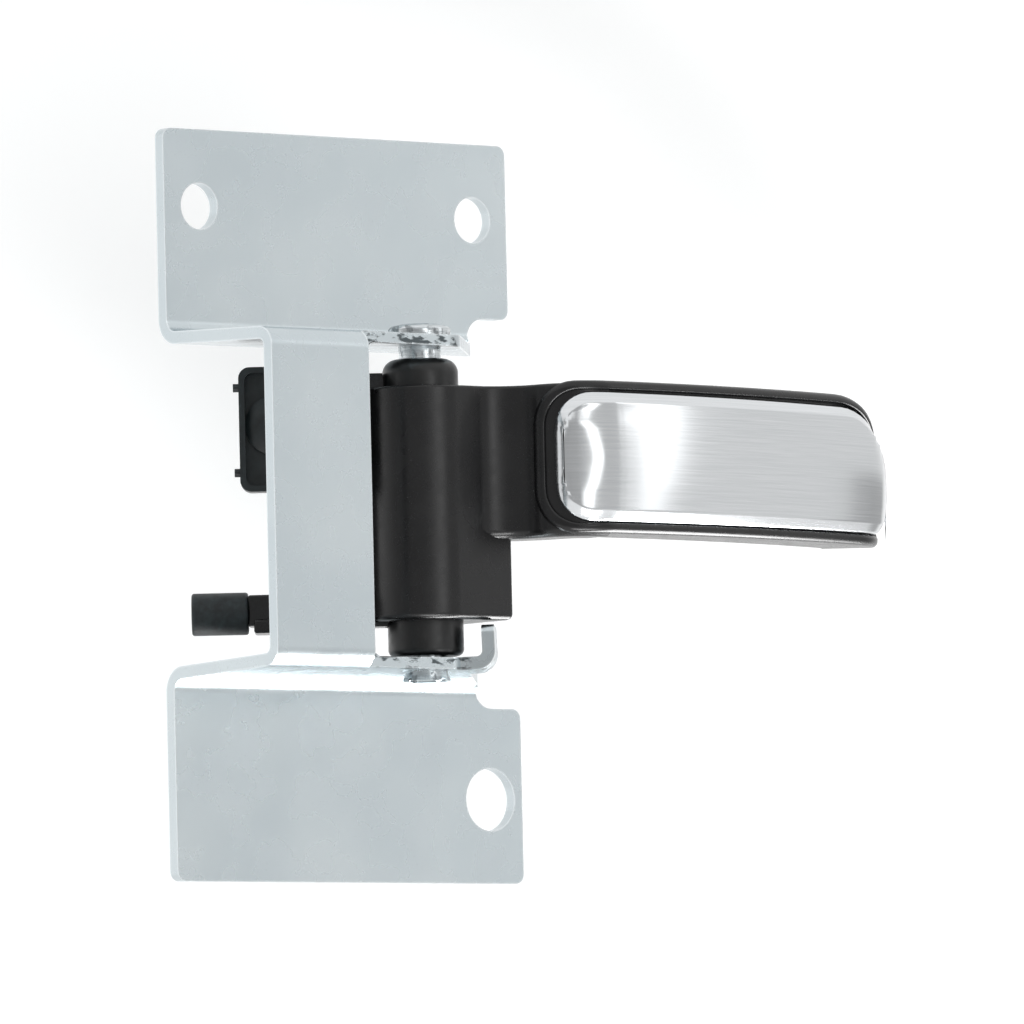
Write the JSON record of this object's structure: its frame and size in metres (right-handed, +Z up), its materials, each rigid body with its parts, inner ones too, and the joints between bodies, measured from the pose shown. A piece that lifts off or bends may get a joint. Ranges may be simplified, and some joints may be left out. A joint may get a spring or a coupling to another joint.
{
  "type": "interior door handle",
  "caption": "Curved pull lever with a bright insert, swinging on an upright pin in a hat-shaped plated sheet bracket with flat fixing plates.",
  "frame": {"origin": "midway between the two upper fixing holes, on the back face of the fixing plates", "axes": "+X from the strap side to the paddle's tip, +Y out of the back face into the door, +Z up along the pin"},
  "size_m": [0.1131, 0.0454, 0.1062],
  "materials": {
    "plated_sheet": "satin zinc plating",
    "plated_pin": "bright zinc plating",
    "black_coat": "satin black powder coat on die-cast aluminium",
    "bright_trim": "brushed along its length with a polished border",
    "black_nylon": "smooth satin",
    "clip_plastic": "smooth satin",
    "sleeve_rubber": "matt"
  },
  "bodies": {
    "mount": {"bracket": "plated_sheet", "pivot_pin": "plated_pin"},
    "pull": {"lever": "black_coat", "insert": "bright_trim", "upper_bush": "black_nylon", "lower_bush": "black_nylon", "rod_clip": "clip_plastic", "stop_sleeve": "sleeve_rubber"}
  },
  "joints": [
    {"name": "lever_swing", "type": "hinge", "parent": "mount", "child": "pull", "pos_m": [0.0014, -0.0179, -0.0425], "axis": [0, 0, -1], "range_deg": [0, 37.5]}
  ]
}
